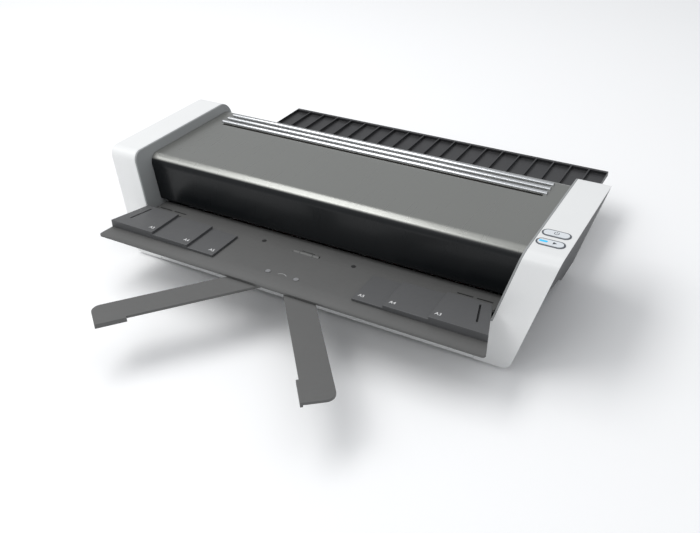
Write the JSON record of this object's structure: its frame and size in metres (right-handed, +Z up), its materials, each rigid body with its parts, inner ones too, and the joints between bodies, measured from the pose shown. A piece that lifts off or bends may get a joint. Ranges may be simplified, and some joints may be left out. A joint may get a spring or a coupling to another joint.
{
  "type": "pouch laminator",
  "caption": "Free-standing desk laminator: pouches pass between heated rollers, from a folding entry tray with swing-out arms to a ribbed tray behind.",
  "frame": {"origin": "on the desk, under the middle of the machine's box with its tray open and its arms swung out", "axes": "+X to the user's right along the rollers, +Y away from the user in the direction of travel, +Z up"},
  "size_m": [0.49, 0.4983, 0.115],
  "materials": {
    "casing_white": "satin white moulded plastic",
    "liner_grey": "light grey moulded plastic",
    "cover_grey": "dark grey pearl lacquer, glossy",
    "side_dark": "dark grey textured plastic",
    "tray_grey": "dark grey fine-textured plastic",
    "panel_grey": "dark grey fine-textured plastic",
    "arm_grey": "dark grey smooth plastic",
    "output_black": "near-black textured plastic",
    "trim_chrome": "bright plated strip",
    "rim_grey": "grey satin rim",
    "button_white": "smooth white button",
    "light_lens": "translucent blue light pipe",
    "board": "green solder-masked board",
    "component_black": "black moulded components",
    "rubber": "matte black rubber",
    "screw_steel": "plated steel",
    "steel": "ground steel",
    "inlet_black": "black moulded plastic",
    "zinc_plate": "zinc-plated sheet steel",
    "guide_black": "black coated sheet",
    "motor_steel": "plated motor can",
    "nylon": "natural white gear plastic",
    "bush_polymer": "brown high-temperature polymer",
    "shoe_aluminium": "extruded aluminium",
    "element_ceramic": "ceramic heating strip",
    "silicone": "brick-red silicone"
  },
  "bodies": {
    "body": {"left_end_cap": "casing_white", "right_end_cap": "casing_white", "front_apron": "casing_white", "left_cap_liner": "liner_grey", "right_cap_liner": "liner_grey", "main_cover": "cover_grey", "left_side_panel": "side_dark", "right_side_panel": "side_dark", "base_pan": "side_dark", "rear_panel": "side_dark", "entry_table": "tray_grey", "vent_trim_strips": "trim_chrome", "button_rims": "rim_grey", "control_board": "board", "main_board": "board", "key_switches": "component_black", "board_components": "component_black", "rubber_feet": "rubber", "base_screws": "screw_steel", "tray_hinge_pins": "steel", "power_inlet": "inlet_black", "switch_housing": "inlet_black", "left_chassis_plate": "zinc_plate", "right_chassis_plate": "zinc_plate", "tie_bars": "steel", "sheet_guides": "guide_black", "motor_bracket": "zinc_plate", "drive_motor": "motor_steel", "idler_stud": "steel", "roller_bushes": "bush_polymer", "pressure_springs": "steel", "heater_shoes": "shoe_aluminium", "heating_elements": "element_ceramic"},
    "tray": {"entry_tray": "tray_grey", "left_format_panel": "panel_grey", "right_format_panel": "panel_grey", "arm_rivets": "screw_steel"},
    "left_arm": {"left_support_arm": "arm_grey"},
    "right_arm": {"right_support_arm": "arm_grey"},
    "rear_tray": {"output_tray": "output_black"},
    "standby_key": {"standby_button": "button_white"},
    "start_key": {"start_button": "button_white", "start_light_lens": "light_lens"},
    "rocker": {"power_rocker": "inlet_black"},
    "idler": {"idler_gear": "nylon"},
    "pinion": {"motor_pinion": "nylon"},
    "lower_hot_roller": {"lower_hot_roller_core": "steel", "lower_hot_roller_sleeve": "silicone", "lower_hot_roller_gear": "nylon"},
    "upper_hot_roller": {"upper_hot_roller_core": "steel", "upper_hot_roller_sleeve": "silicone", "upper_hot_roller_gear": "nylon"},
    "lower_exit_roller": {"lower_exit_roller_core": "steel", "lower_exit_roller_sleeve": "silicone", "lower_exit_roller_gear": "nylon"},
    "upper_exit_roller": {"upper_exit_roller_core": "steel", "upper_exit_roller_sleeve": "silicone", "upper_exit_roller_gear": "nylon"}
  },
  "joints": [
    {"name": "tray_fold", "type": "hinge", "parent": "body", "child": "tray", "pos_m": [0, -0.0684, 0.0515], "axis": [-1, 0, 0], "range_deg": [0, 88]},
    {"name": "left_arm_swing", "type": "hinge", "parent": "tray", "child": "left_arm", "pos_m": [-0.0155, -0.1124, 0.0498], "axis": [0, 0, -1], "range_deg": [0, 51]},
    {"name": "right_arm_swing", "type": "hinge", "parent": "tray", "child": "right_arm", "pos_m": [0.0155, -0.1124, 0.0498], "axis": [0, 0, 1], "range_deg": [0, 51]},
    {"name": "rear_tray_pull", "type": "slide", "parent": "body", "child": "rear_tray", "axis": [0, 1, 0], "range_m": [0, 0.014]},
    {"name": "standby_press", "type": "slide", "parent": "body", "child": "standby_key", "axis": [0, 0, -1], "range_m": [0, 0.0008], "stiffness_N_per_m": 400, "springref_m": -0.001},
    {"name": "start_press", "type": "slide", "parent": "body", "child": "start_key", "axis": [0, 0, -1], "range_m": [0, 0.0008], "stiffness_N_per_m": 400, "springref_m": -0.001},
    {"name": "rocker_tilt", "type": "hinge", "parent": "body", "child": "rocker", "pos_m": [-0.104, 0.0956, 0.028], "axis": [0, 0, -1], "range_deg": [0, 18]},
    {"name": "lower_hot_spin", "type": "hinge", "parent": "body", "child": "lower_hot_roller", "pos_m": [0, -0.0104, 0.0465], "axis": [1, 0, 0], "continuous": true},
    {"name": "upper_hot_spin", "type": "hinge", "parent": "body", "child": "upper_hot_roller", "pos_m": [0, -0.0104, 0.0708], "axis": [1, 0, 0], "continuous": true},
    {"name": "lower_exit_spin", "type": "hinge", "parent": "body", "child": "lower_exit_roller", "pos_m": [0, 0.0546, 0.0465], "axis": [1, 0, 0], "continuous": true},
    {"name": "upper_exit_spin", "type": "hinge", "parent": "body", "child": "upper_exit_roller", "pos_m": [0, 0.0546, 0.0708], "axis": [1, 0, 0], "continuous": true},
    {"name": "idler_spin", "type": "hinge", "parent": "body", "child": "idler", "pos_m": [0, 0.0221, 0.0465], "axis": [1, 0, 0], "continuous": true},
    {"name": "pinion_spin", "type": "hinge", "parent": "body", "child": "pinion", "pos_m": [0, 0.0221, 0.07511], "axis": [1, 0, 0], "continuous": true}
  ],
  "couplings": [
    {"joint": "upper_hot_spin", "follows": "lower_hot_spin", "ratio": -1},
    {"joint": "lower_exit_spin", "follows": "lower_hot_spin", "ratio": 1},
    {"joint": "upper_exit_spin", "follows": "lower_hot_spin", "ratio": -1},
    {"joint": "idler_spin", "follows": "lower_hot_spin", "ratio": -0.58537},
    {"joint": "pinion_spin", "follows": "lower_hot_spin", "ratio": 1.5}
  ]
}
